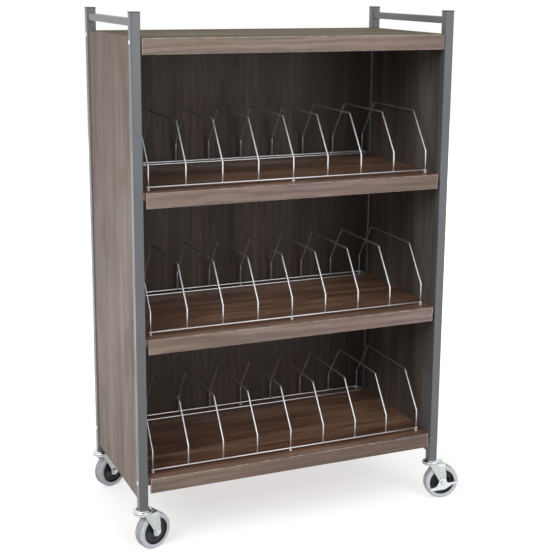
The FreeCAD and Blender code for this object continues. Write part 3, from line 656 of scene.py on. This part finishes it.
LEG_TALL = 54.4 * MM        # a divider's upright part
HOOP_TALL = 160.0 * MM
SLOPE = 76.0 * MM           # depth of each sloping part
BEND_R = 9.0 * MM
shoulder = RAIL_Z + LEG_TALL
crest = RAIL_Z + HOOP_TALL
hoop = bent_wire([(0, FRONT_Y, RAIL_Z), (0, FRONT_Y, shoulder), (0, FRONT_Y + SLOPE, crest),
                  (0, REAR_Y - SLOPE, crest), (0, REAR_Y, shoulder), (0, REAR_Y, RAIL_Z)], BEND_R)
front_wire = bent_wire([(rail_low.x, FRONT_Y, RAIL_Z), (rail_high.x, FRONT_Y, RAIL_Z)], BEND_R)

# the rear loop is one wire spun round both its ends and butt welded in its front run
turn_r = (REAR_Y - LOOP_Y) / 2
turn_y = (REAR_Y + LOOP_Y) / 2
left_x = loop_low.x + WIRE_R + turn_r
right_x = loop_high.x - WIRE_R - turn_r
let_go()
bpy.ops.mesh.primitive_circle_add(vertices=WIRE_SIDES, radius=WIRE_R,
                                  location=(left_x, REAR_Y, RAIL_Z),
                                  rotation=(0, math.radians(90), 0))
loop_wire = bpy.context.active_object
settle()
take_up(loop_wire)
bpy.ops.mesh.select_mode(type="EDGE")
pick_all()
for here, there in ((left_x, right_x), (right_x, left_x)):
    draw_out((there - here, 0, 0))
    bpy.ops.mesh.spin(steps=14, angle=math.pi, center=(there, turn_y, RAIL_Z), axis=(0, 0, 1))
close_up(loop_wire, 50.0)

# a spot weld leaves a small flattened nugget at each meeting of two wires
NUGGET_R = 2.9 * MM
NUGGET_UP = 0.7 * MM        # over the rail's middle
let_go()
bpy.ops.mesh.primitive_uv_sphere_add(segments=14, ring_count=8, radius=NUGGET_R)
nugget = bpy.context.active_object
take_up(nugget)
pick_all()
bpy.ops.transform.resize(value=(1.15, 0.98, 0.8), center_override=(0, 0, 0))
pick(nugget, "VERT", lambda v: v.co.z > 1.2 * MM)
bpy.ops.transform.resize(value=(0.86, 0.86, 1.0), center_override=(0, 0, 0))
close_up(nugget, 60.0)

for level, lift in LEVELS.items():
    hoops, nuggets = [], []
    for k in range(DIVIDERS):
        across = FIRST_X + k * PITCH_X
        hoops.append(copied(hoop, Matrix.Translation((across, 0, lift))))
        for y in (FRONT_Y, REAR_Y):
            spot = Matrix.Translation((across, y, RAIL_Z + NUGGET_UP + lift))
            nuggets.append(copied(nugget, spot @ Matrix.Rotation(math.radians(31 * k), 4, "Z")))
    fit(joined(hoops), level + "_hoops", plated_wire, "plated_wire", "cabinet", level + "_dividers")
    fit(joined(nuggets), level + "_rack_welds", plated_wire, "plated_wire", "cabinet")
    fit(copied(front_wire, Matrix.Translation((0, 0, lift))), level + "_front_wire", plated_wire,
        "plated_wire", "cabinet", level + "_front_rail")
    fit(copied(loop_wire, Matrix.Translation((0, 0, lift))), level + "_rear_loop", plated_wire,
        "plated_wire", "cabinet", level + "_rear_rail")
for pattern in (hoop, front_wire, loop_wire, nugget):
    bpy.data.objects.remove(pattern)

# ---- rack feet ----------------------------------------------------------------------------
# Small pale nylon feet with a flange, a waist and a cradle for the rail, pushed into the
# shelves by a split peg, three along each rail.
pale_plastic, tree, shader, where = new_finish("pale_plastic", Subsurface_Weight=0.15,
                                               Subsurface_Scale=0.002)
dust = noise(tree, where, 300.0, 4.0)
coloured(tree, shader, ramp(tree, dust, 0.35, 0.7), tone(200, 200, 198), tone(222, 222, 220))
tree.links.new(ramp(tree, dust, 0.3, 0.7, 0.36, 0.5), shader.inputs["Roughness"])
raise_grain(tree, shader, noise(tree, where, 1500.0), 0.00005)

FOOT = [(1.6, -11.8), (2.3, -11.0), (2.5, -9.0), (2.2, -6.0), (2.2, -0.2), (2.5, 0.0), (4.3, 0.0),
        (4.5, 0.3), (4.5, 1.1), (4.2, 1.5), (3.3, 2.0), (3.1, 4.6), (3.6, 5.6), (4.1, 6.2), (4.1, 8.6),
        (3.7, 9.1)]
CRADLE = (14, 4.5, 8)       # the groove that is cut for the rail
CRADLE_Z = 10.2


def soften(thing, width, angle=50):
    """Rounds a piece's sharp edges by a width in millimetres."""
    trim_with(thing, "BEVEL", width=width * MM, segments=2, limit_method="ANGLE",
              angle_limit=math.radians(angle))


foot = turned(FOOT, 28)
cut_out(foot, block(CRADLE, (0, 0, CRADLE_Z)))
soften(foot, 0.25)
feet = []
for lift in LEVELS.values():
    for k in (0, DIVIDERS // 2, DIVIDERS - 1):
        for y in (FRONT_Y, REAR_Y):
            place = (FIRST_X + k * PITCH_X, y, shelf_top + lift)
            feet.append(copied(foot, Matrix.Translation(place)))
bpy.data.objects.remove(foot)
fit(joined(feet), "rail_feet", pale_plastic, "pale_plastic", "cabinet", "rack_feet")

# ---- caster stems, sockets and cups -------------------------------------------------------
# A plastic socket in each post grips a steel stem, and a pressed chrome bearing cup sits on the
# stem under the post.
dress("stem_sockets", dark_plastic)
dress("caster_stems", bright_steel)

bright_chrome, tree, shader, where = new_finish("bright_chrome", Metallic=1.0)
marks = smudged(tree, shader, where, 40.0, 0.08, 0.22)
coloured(tree, shader, marks, tone(226, 229, 234), tone(200, 204, 210))
raise_grain(tree, shader, noise(tree, where, 90.0, 2.0), 0.00015, 0.4)

# every piece of a caster is made about its own stem, then turned and set under its post
PARKED = {"front_left": 21.0, "front_right": -11.0, "rear_left": 23.0, "rear_right": 14.0}
SET = {}
for corner, degrees in PARKED.items():
    low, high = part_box(corner + "_post")
    place = Matrix.Translation(((low.x + high.x) / 2, (low.y + high.y) / 2, 0.0))
    SET[corner] = place @ Matrix.Rotation(math.radians(degrees), 4, "Z")

CUP = [(5.6, 110.35), (21.9, 110.35), (22.4, 110.8), (22.4, 113.4), (22.9, 113.75), (24.3, 113.8),
       (25.0, 114.3), (25.2, 115.1), (25.15, 116.4), (24.6, 117.2), (23.4, 117.8), (21.8, 118.1),
       (20.9, 118.6), (20.3, 119.4), (19.6, 120.3), (18.6, 120.8), (17.0, 120.95), (5.6, 120.95)]
cup = turned(CUP, 64, closed=True)
cups = [copied(cup, SET[corner]) for corner in CORNERS]
bpy.data.objects.remove(cup)
fit(joined(cups), "bearing_cups", bright_chrome, "bright_chrome", "cabinet", "caster_cups")

# ---- forks --------------------------------------------------------------------------------
# Each fork is pressed from 2.5 mm sheet and zinc plated. Two tapering legs with a long crease
# and a round eye are bent over into a bridge, and a dished crown with a rolled rim turns round
# the cup.
zinc_sheet, tree, shader, where = new_finish("zinc_sheet", Metallic=0.85, IOR=1.8)
spangle = noise(tree, where, 190.0, 5.0, 0.65)
coloured(tree, shader, ramp(tree, spangle, 0.3, 0.7), tone(186, 193, 190), tone(208, 214, 212))
smudged(tree, shader, where, 30.0, 0.3, 0.46)
raise_grain(tree, shader, spangle, 0.00008)

# in millimetres, X and Y from the stem and Z from the floor
TRAIL = 32.0                # the axle's X
AXLE_Z = 50.8
EYE_R = 12.5
LEG_OUT = 21.5              # Y of a leg's outer face
LEG_TOP = 110.0
LEADING = (-10.0, 21.2, 57.0)       # X at the leg's top, then X and Z where the line ends
TRAILING = (38.0, 44.4, 52.0)
CREASE = (17.5, 22.5, 66.0)
CREASE_ROOM = 0.3           # least share of the leg's width beside the crease
STEP = 1.2                  # the leg is pressed out behind the crease
STEP_HALVES, STEP_ENDS = 102.0, 105.0
BEND = ((108.5, 0.4), (109.5, 1.5), (109.9, 3.0))   # Z, and how far in the sheet has bent
SHEET = 2.5 * MM


def strip(rows, columns):
    """A flat sheet strip, from rows of (along Y, low X, high X) in millimetres."""
    # the grid starts metres away from the finished strip, so that no row is picked twice
    wide, away = 2.0, 2.0
    let_go()
    bpy.ops.mesh.primitive_grid_add(x_subdivisions=columns, y_subdivisions=len(rows) - 1,
                                    size=wide, location=(0, away + wide / 2, 0))
    thing = bpy.context.active_object
    settle()
    take_up(thing)
    for k, (along, low, high) in enumerate(rows):
        start = away + wide * k / (len(rows) - 1)
        pick(thing, "VERT", lambda v: abs(v.co.y - start) < 1.0 * MM)
        bpy.ops.transform.resize(value=((high - low) * MM / wide, 1, 1), center_override=(0, start, 0))
        bpy.ops.transform.translate(value=((high + low) / 2 * MM, along * MM - start, 0))
    put_down()
    return thing


def eye_chord(z):
    """Half the width of the round eye at a height."""
    return math.sqrt(max(EYE_R ** 2 - (z - AXLE_Z) ** 2, 0.0))


def slanted(z, top, foot, foot_z):
    """A straight line down the leg, from its top."""
    return foot + (top - foot) * (z - foot_z) / (LEG_TOP - foot_z)


def in_row(vertex, z):
    """Whether a vertex of the flat leg is in a row."""
    return abs(vertex.co.y - z * MM) < 0.01 * MM


leg_rows = [AXLE_Z - EYE_R * math.cos(math.radians(a)) for a in (14, 26, 38, 50, 62, 76, 90)]
leg_rows += [56.0, 61.0, 65.5, 68.0, 73.0, 80.0, 87.0, 94.0, 100.0, 104.0, 107.0]
leg_rows += [z for z, inset in BEND]
leads, creases, trails = [], [], []
for z in leg_rows:
    lead = TRAIL - eye_chord(z) if z < LEADING[2] else slanted(z, *LEADING)
    trail = TRAIL + eye_chord(z) if z <= TRAILING[2] else slanted(z, *TRAILING)
    beside = CREASE_ROOM * (trail - lead)
    creases.append(min(max(slanted(z, *CREASE), lead + beside), trail - beside))
    leads.append(lead)
    trails.append(trail)
steps = [crease + STEP for crease in creases]
leg = joined([strip(list(zip(leg_rows, leads, creases)), 5),
              strip(list(zip(leg_rows, creases, steps)), 1),
              strip(list(zip(leg_rows, steps, trails)), 5)])
take_up(leg)
pick_all()
bpy.ops.mesh.remove_doubles(threshold=0.05 * MM)
for z, step in zip(leg_rows, steps):
    if CREASE[2] < z < STEP_ENDS:
        pick(leg, "VERT", lambda v: in_row(v, z) and v.co.x > (step - 0.2) * MM)
        bpy.ops.transform.translate(value=(0, 0, (STEP if z < STEP_HALVES else STEP / 2) * MM))
for z, inset in BEND:
    pick(leg, "VERT", lambda v: in_row(v, z))
    bpy.ops.transform.translate(value=(0, 0, -inset * MM))
# the last bent row goes on to the middle of the bridge
pick(leg, "EDGE", lambda e: all(in_row(v, z) for v in e.verts))
draw_out((0, 0, -(LEG_OUT - inset) * MM))
put_down()
stand_up = Matrix(((1, 0, 0, 0), (0, 0, -1, 0), (0, 1, 0, 0), (0, 0, 0, 1)))
leg.data.transform(Matrix.Translation((0, -LEG_OUT * MM, 0)) @ stand_up)
other_leg = copied(leg, Matrix.Scale(-1, 4, (0, 1, 0)))
legs = joined([leg, other_leg])
take_up(legs)
pick_all()
bpy.ops.mesh.remove_doubles(threshold=0.05 * MM)
bpy.ops.mesh.normals_make_consistent(inside=False)
# a bridge is open below, so its outside is found from the top face
top_face = [f for f in bmesh.from_edit_mesh(legs.data).faces if abs(f.normal.z) > 0.99][0]
if top_face.normal.z < 0:
    bpy.ops.mesh.flip_normals()
put_down()
trim_with(legs, "SOLIDIFY", thickness=SHEET, offset=-1.0, use_even_offset=True)
soften(legs, 0.45)

CROWN = [(5.8, 107.05), (23.6, 107.05), (24.9, 107.4), (25.7, 108.2), (26.0, 109.4), (26.0, 112.2),
         (25.8, 112.9), (25.2, 113.35), (24.5, 113.3), (24.0, 112.8), (23.8, 112.0), (23.7, 110.8),
         (23.2, 110.15), (22.4, 110.0), (5.8, 110.0)]
crown = turned(CROWN, 64, closed=True)
fork = joined([legs, crown])
bpy.ops.object.shade_smooth_by_angle(angle=math.radians(40))
for corner in CORNERS:
    fit(copied(fork, SET[corner]), corner + "_pressed_fork", zinc_sheet, "zinc_sheet", corner + "_swivel",
        corner + "_fork")
bpy.data.objects.remove(fork)

# ---- hubs ---------------------------------------------------------------------------------
# Injection-moulded dark hubs with a stepped, ribbed dish on each side, and a long boss that
# runs on the axle's sleeve.
hub_plastic, tree, shader, where = new_finish("hub_plastic", IOR=1.46)
marks = smudged(tree, shader, where, 40.0, 0.3, 0.46)
coloured(tree, shader, marks, tone(44, 46, 49), tone(64, 65, 69))
raise_grain(tree, shader, noise(tree, where, 2000.0), 0.00006)

HUB_SIDE = [(40.5, 14.4), (38.2, 14.5), (37.0, 14.0), (36.5, 13.0), (36.3, 9.4), (35.7, 8.7), (34.4, 8.6),
            (33.8, 9.6), (32.9, 10.1), (32.0, 9.7), (31.5, 8.2), (30.4, 7.5), (28.6, 7.3), (27.3, 7.6),
            (26.4, 9.6), (25.2, 10.2), (24.0, 9.6), (23.3, 6.2), (21.8, 5.4), (15.0, 5.2), (12.4, 6.0),
            (11.4, 8.5), (11.0, 16.8), (10.4, 17.7), (9.4, 18.0), (7.2, 18.0), (6.3, 17.5), (6.1, 16.6)]
on_axle = (Matrix.Translation((TRAIL * MM, 0, AXLE_Z * MM))
           @ Matrix.Rotation(math.radians(-90), 4, "X"))
hub = turned(HUB_SIDE + [(r, -z) for r, z in reversed(HUB_SIDE)], 72, closed=True)
for corner in CORNERS:
    fit(copied(hub, SET[corner] @ on_axle), corner + "_moulded_hub", hub_plastic, "hub_plastic",
        corner + "_wheel", corner + "_hub")
bpy.data.objects.remove(hub)

# ---- tyres --------------------------------------------------------------------------------
# Soft grey non-marking rubber, moulded round the hub with a bead at the rim and a fine parting
# line round the tread. The tread is dulled by the floor.
grey_tyre, tree, shader, where = new_finish("grey_tyre", IOR=1.5)
scuffs = noise(tree, where, 120.0, 5.0, 0.7)
tread = add(tree, "Attribute", {"attribute_name": "tread"}).outputs["Fac"]
rubber = mixed(tree, ramp(tree, scuffs, 0.45, 0.75), tone(222, 226, 236), tone(204, 207, 216))
soiled = maths(tree, "MULTIPLY", tread, ramp(tree, scuffs, 0.3, 0.6, 0.35, 0.8))
coloured(tree, shader, soiled, rubber, tone(158, 158, 160))
smudged(tree, shader, where, 30.0, 0.42, 0.6)
raise_grain(tree, shader, scuffs, 0.0001)

TYRE_SIDE = [(40.5, 14.55), (38.0, 14.6), (37.9, 15.0), (38.3, 15.35), (39.6, 15.5), (41.6, 15.4),
             (42.4, 15.0), (43.2, 15.1), (44.2, 15.75), (45.6, 15.7), (47.2, 15.1), (48.7, 13.8),
             (49.8, 12.2), (50.5, 10.4), (50.75, 8.4), (50.8, 5.5), (50.8, 0.5)]
PARTING = [(50.65, 0.2), (50.65, -0.2)]
SOIL_STARTS = 48.5          # radius, and how much further out the soil is full
SOIL_FADES = 2.2
tyre = turned(TYRE_SIDE + PARTING + [(r, -z) for r, z in reversed(TYRE_SIDE)], 96, closed=True)
soil = tyre.data.attributes.new("tread", "FLOAT", "POINT")
for k, vertex in enumerate(tyre.data.vertices):
    from_axle = math.hypot(vertex.co.x, vertex.co.y) / MM
    soil.data[k].value = min(max((from_axle - SOIL_STARTS) / SOIL_FADES, 0.0), 1.0)
for corner in CORNERS:
    fit(copied(tyre, SET[corner] @ on_axle), corner + "_rubber_tyre", grey_tyre, "grey_tyre",
        corner + "_wheel", corner + "_tyre")
bpy.data.objects.remove(tyre)

# ---- axles --------------------------------------------------------------------------------
# A hexagon bolt from the inner side, a lock nut with its nylon collar outside, and a steel
# sleeve that the hub runs on. Where a brake lever is fitted, a bush spaces the nut off the leg.
BRAKED = ("front_right", "rear_right")
FLATS = 13.0                # across the bolt's head and the nut
BOLT_R = 4.0
SLEEVE_BORE_R, SLEEVE_R = 4.2, 6.0
SLEEVE_HALF = 19.0          # half its length
BUSH_LONG = 2.6
THREAD_LONG = 11.5
THREAD_DEEP = 0.35
THREAD_PITCH = 1.0


def hexagon(low, high, chamfer):
    """A chamfered hexagon."""
    wide = FLATS / math.sqrt(3)
    slope = chamfer * 0.6
    return turned([(wide - chamfer, low), (wide, low + slope), (wide, high - slope),
                   (wide - chamfer, high)], 6)


def threaded(low):
    """The bolt's shank, its thread as fine rings behind a chamfered end."""
    rings, z = [(BOLT_R - 0.8, low)], low + 0.4
    high = low + THREAD_LONG
    while z < high - THREAD_PITCH / 2:
        rings += [(BOLT_R, z), (BOLT_R - THREAD_DEEP, z + THREAD_PITCH / 2)]
        z += THREAD_PITCH
    return turned(rings + [(BOLT_R, high), (BOLT_R, LEG_OUT)], 24)


def tube(low, high):
    """A length of the steel tube that fits over the bolt."""
    return turned([(SLEEVE_BORE_R, low), (SLEEVE_R, low), (SLEEVE_R, high), (SLEEVE_BORE_R, high)],
                  32, closed=True)


for corner in CORNERS:
    face = -LEG_OUT - (BUSH_LONG if corner in BRAKED else 0.0)      # the nut's inner face
    collar = turned([(4.1, face - 6.0), (5.2, face - 6.0), (5.9, face - 5.5), (6.1, face - 4.6),
                     (4.1, face - 4.6)], 32, closed=True)
    set_of = [threaded(face - 7.5), hexagon(LEG_OUT, LEG_OUT + 5.0, 0.8),
              hexagon(face - 4.7, face, 0.7), collar, tube(-SLEEVE_HALF, SLEEVE_HALF)]
    if corner in BRAKED:
        set_of.append(tube(face, -LEG_OUT))
    bolted = joined(set_of)
    bolted.data.transform(SET[corner] @ on_axle)
    bpy.ops.object.shade_smooth_by_angle(angle=math.radians(35))
    fit(bolted, corner + "_axle_set", bright_steel, "bright_steel", corner + "_swivel", corner + "_axle")

# ---- brake levers -------------------------------------------------------------------------
# A chromed rocker, pressed from 1.9 mm sheet with a bellied plate and turned-out flanges that
# the foot presses, turns on the axle's bush on the two right-hand casters.
LEVER_SHEET = 1.9 * MM
LEVER_Y = -22.8             # middle of the plate
FLANGES = ((15.0, 49.5), (-38.0, -19.0))
FLANGE_WIDE = 7.4
FLANGE_BEND = 1.0           # part of the width that takes the bend
FLANGE_LEAN = 0.3           # rise in each part
# along from the axle, and how far below it the upper and the lower edge are
LEVER = [(-38.2, 15.0, 20.5), (-36.5, 13.9, 23.0), (-33.0, 12.9, 24.0), (-28.0, 11.6, 23.6),
         (-23.0, 9.4, 23.0), (-18.0, 6.0, 22.4), (-13.5, 1.0, 22.0), (-11.5, -6.0, 21.8),
         (-8.0, -10.6, 21.6), (-4.0, -12.8, 21.4), (0.0, -13.4, 21.2), (4.0, -12.8, 20.6),
         (8.0, -10.6, 19.6), (11.5, -6.0, 18.2), (14.0, -1.8, 16.8), (18.0, -1.4, 14.0),
         (23.0, -1.6, 10.6), (29.0, -2.0, 7.6), (36.0, -2.6, 5.2), (43.0, -3.2, 3.9),
         (49.0, -3.4, 3.4), (51.5, -2.6, 2.6), (52.6, -1.2, 1.2)]
lever = strip([(along, -lower, -upper) for along, upper, lower in LEVER], 5)
take_up(lever)


def on_upper_edge(edge, low, high):
    """Whether an edge runs along the lever's upper side between two places."""
    middle = (edge.verts[0].co + edge.verts[1].co) / 2 / MM
    row = min(LEVER, key=lambda r: abs(r[0] - edge.verts[0].co.y / MM))
    return (len(edge.link_faces) == 1 and low < middle.y < high
            and abs(edge.verts[0].co.x / MM + row[1]) < 0.05)


for low, high in FLANGES:
    pick(lever, "EDGE", lambda e: on_upper_edge(e, low, high))
    draw_out((FLANGE_LEAN * MM, 0, -FLANGE_BEND * MM))
    draw_out((FLANGE_LEAN * MM, 0, (FLANGE_BEND - FLANGE_WIDE) * MM))
pick_all()
bpy.ops.mesh.normals_make_consistent(inside=False)
put_down()
# the plate is stood on its edge, with its length along X
set_upright = Matrix(((0, 1, 0, 0), (0, 0, 1, 0), (1, 0, 0, 0), (0, 0, 0, 1)))
lever.data.transform(Matrix.Translation((TRAIL * MM, LEVER_Y * MM, AXLE_Z * MM)) @ set_upright)
trim_with(lever, "SOLIDIFY", thickness=LEVER_SHEET, offset=0.0, use_even_offset=True)
soften(lever, 0.4, 45)
bpy.ops.object.shade_smooth_by_angle(angle=math.radians(40))
for corner in BRAKED:
    fit(copied(lever, SET[corner]), corner + "_rocker", bright_chrome, "bright_chrome", corner + "_brake",
        corner + "_brake_lever")
bpy.data.objects.remove(lever)

# ---- floor, light and camera --------------------------------------------------------------
# A plain pale studio floor that whitens into the surround away from the middle, one large soft
# light from the front left, a weaker one from the right and an even white surround.
let_go()
bpy.ops.mesh.primitive_plane_add(size=16.0, location=(0.0, 0.0, 0.0))
floor = bpy.context.active_object
floor.name = "floor"
finish, tree, shader, where = new_finish("pale_floor", Roughness=0.85, Specular_IOR_Level=0.1)
path = add(tree, "LightPath").outputs
seen = maths(tree, "MAXIMUM", path["Is Camera Ray"], path["Is Glossy Ray"])
swept = ramp(tree, noise(tree, where, 0.6, 2.0), 0.3, 0.7)
pale = mixed(tree, swept, (0.86, 0.86, 0.86, 1.0), (0.88, 0.88, 0.88, 1.0))
coloured(tree, shader, seen, (0.45, 0.44, 0.43, 1.0), pale)
# it whitens away from the middle, so that no horizon shows
away = add(tree, "VectorMath", {"operation": "LENGTH"}, i0=where).outputs["Value"]
shader.inputs["Emission Color"].default_value = (1.0, 1.0, 1.0, 1.0)
tree.links.new(maths(tree, "MULTIPLY", seen, ramp(tree, away, 0.4, 2.2, 0.5, 1.0)),
               shader.inputs["Emission Strength"])
floor.data.materials.append(finish)

world = bpy.data.worlds.new("white_surround")
bpy.context.scene.world = world
world.use_nodes = True
tree = world.node_tree
background = tree.nodes["Background"]
background.inputs["Color"].default_value = (1.0, 1.0, 1.0, 1.0)
path = add(tree, "LightPath").outputs
seen = maths(tree, "MAXIMUM", path["Is Camera Ray"], path["Is Glossy Ray"])
seen = maths(tree, "MAXIMUM", seen, path["Is Transmission Ray"])
tree.links.new(ramp(tree, seen, 0.0, 1.0, 0.55, 1.0), background.inputs["Strength"])


def soft_light(name, place, aim, width, power):
    """A square softbox that faces a point."""
    lamp = bpy.data.lights.new(name, "AREA")
    lamp.shape = "SQUARE"
    lamp.size = width
    lamp.energy = power
    box = bpy.data.objects.new(name, lamp)
    bpy.context.scene.collection.objects.link(box)
    box.location = place
    box.rotation_euler = (Vector(aim) - Vector(place)).to_track_quat("-Z", "Y").to_euler()


soft_light("key_light", (-3.4, -2.2, 3.1), (0.0, 0.0, 0.9), 2.4, 66.0)
soft_light("fill_light", (1.2, -3.8, 2.0), (0.0, 0.0, 0.7), 2.4, 44.0)

CAMERA_AT = (-1.29185, -3.02833, 1.51631)
YAW = math.radians(23.27)
PITCH = math.radians(12.426)
ROLL = math.radians(0.485)
ahead = Vector((math.sin(YAW) * math.cos(PITCH), math.cos(YAW) * math.cos(PITCH), -math.sin(PITCH)))
across = Vector((math.cos(YAW), -math.sin(YAW), 0.0))
upward = across.cross(ahead)
right = math.cos(ROLL) * across + math.sin(ROLL) * upward
up = math.cos(ROLL) * upward - math.sin(ROLL) * across
lens = bpy.data.cameras.new("camera")
lens.lens = 75.2
lens.sensor_width = 36.0
lens.shift_y = -0.08
camera = bpy.data.objects.new("camera", lens)
bpy.context.scene.collection.objects.link(camera)
camera.matrix_world = Matrix.Translation(CAMERA_AT) @ Matrix((
    (right.x, up.x, -ahead.x), (right.y, up.y, -ahead.y), (right.z, up.z, -ahead.z))).to_4x4()
bpy.context.scene.camera = camera
bpy.context.scene.view_settings.view_transform = "Standard"
